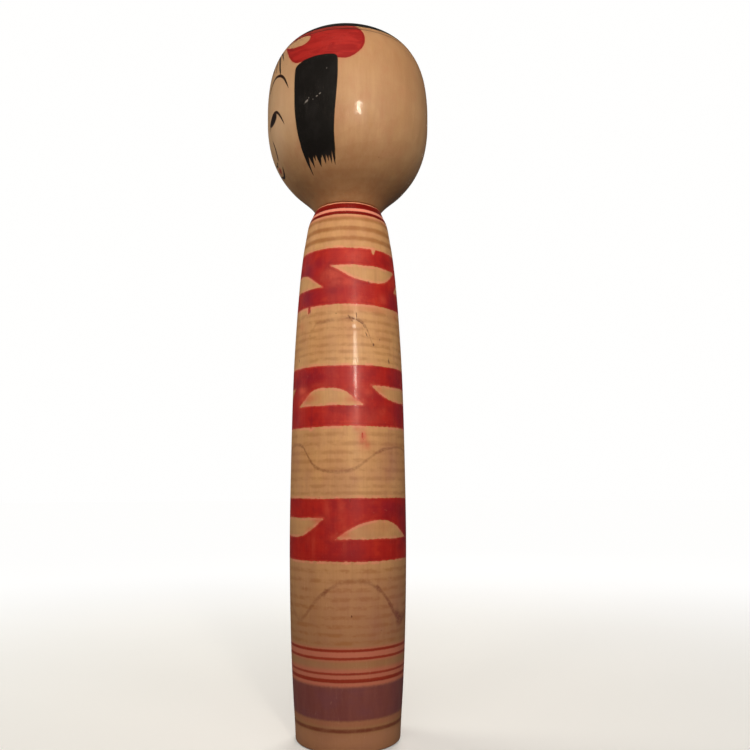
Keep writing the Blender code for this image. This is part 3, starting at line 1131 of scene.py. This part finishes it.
def area_light(name, azimuth, distance, height, aim, width, tall, watts, colour, spread, mirrored=True):
    data = bpy.data.lights.new(name, 'AREA')
    data.shape = 'RECTANGLE'
    data.size, data.size_y = width, tall
    data.energy = watts
    data.color = colour
    data.spread = math.radians(spread)
    obj = new_object(name, data)
    obj.visible_glossy = mirrored
    obj.location = place(azimuth, distance, height)
    obj.rotation_mode = 'QUATERNION'
    obj.rotation_quaternion = (Vector((0, 0, aim)) - obj.location).to_track_quat('-Z', 'Y')


floor()
WARM = (1, .94, .86)
# name, azimuth, distance, height, height aimed at, width, height of the panel, watts, colour, spread
area_light("window", CAM + 15, 1.0, 0.415, 0.25, 0.085, 0.19, 0.35, (1, .9, .76), 60)
for lamp in (
    ("head_left", CAM - 34, 0.85, 0.46, 0.26, 0.35, 0.35, 0.13, WARM, 30),
    ("head_right", CAM + 45, 0.85, 0.5, 0.26, 0.35, 0.35, 0.08, WARM, 40),
    ("wide", CAM + 3, 0.9, 0.5, 0.2, 0.6, 0.6, 1.82, WARM, 130),
    ("top", CAM, 0.35, 0.8, 0.2, 0.5, 0.5, 0.36, WARM, 120),
    ("front", CAM - 120, 0.9, 0.45, 0.2, 0.5, 0.5, 2.15, (0.95, 0.97, 0.88), 120),
    ("side", CAM + 98, 0.9, 0.28, 0.12, 0.5, 0.5, 0.18, (0.7, 0.92, 1), 120),
    ("back", CAM + 165, 1, 0.6, 0.2, 0.6, 0.6, 4, WARM, 120),
):
    area_light(*lamp, mirrored=False)

world = bpy.data.worlds.new("studio")
bpy.context.scene.world = world
world.use_nodes = True
nodes, links = world.node_tree.nodes, world.node_tree.links
nodes.clear()
out = nodes.new("ShaderNodeOutputWorld")
seen, lit = nodes.new("ShaderNodeBackground"), nodes.new("ShaderNodeBackground")
seen.inputs[0].default_value = (1, .997, .99, 1)
lit.inputs[0].default_value = (1, .97, .93, 1)
lit.inputs[1].default_value = 0.05
path = nodes.new("ShaderNodeLightPath")
mix = nodes.new("ShaderNodeMixShader")
links.new(path.outputs["Is Camera Ray"], mix.inputs[0])
links.new(lit.outputs[0], mix.inputs[1])
links.new(seen.outputs[0], mix.inputs[2])
links.new(mix.outputs[0], out.inputs[0])

scene = bpy.context.scene
scene.view_settings.view_transform = 'Standard'
scene.view_settings.look = 'None'
scene.view_settings.exposure = 0.0

cam_data = bpy.data.cameras.new("camera")
cam_data.sensor_width = 36.0
cam_data.lens = LENS
cam_data.shift_y = SHIFT_Y
cam_data.clip_start, cam_data.clip_end = 0.01, 50
camera = new_object("camera", cam_data)
camera.location = place(VIEW_AZIMUTH, AXIS_DISTANCE, EYE_HEIGHT)
a, turn, up = math.radians(VIEW_AZIMUTH), math.radians(TURN_RIGHT), math.radians(PITCH_UP)
ahead = Vector((-math.sin(a), math.cos(a), 0))
right = Vector((math.cos(a), math.sin(a), 0))
ahead = ahead * math.cos(turn) + right * math.sin(turn)
look = ahead * math.cos(up) + Vector((0, 0, math.sin(up)))
camera.rotation_mode = 'QUATERNION'
camera.rotation_quaternion = Quaternion(look, math.radians(ROLL)) @ look.to_track_quat('-Z', 'Y')
scene.camera = camera
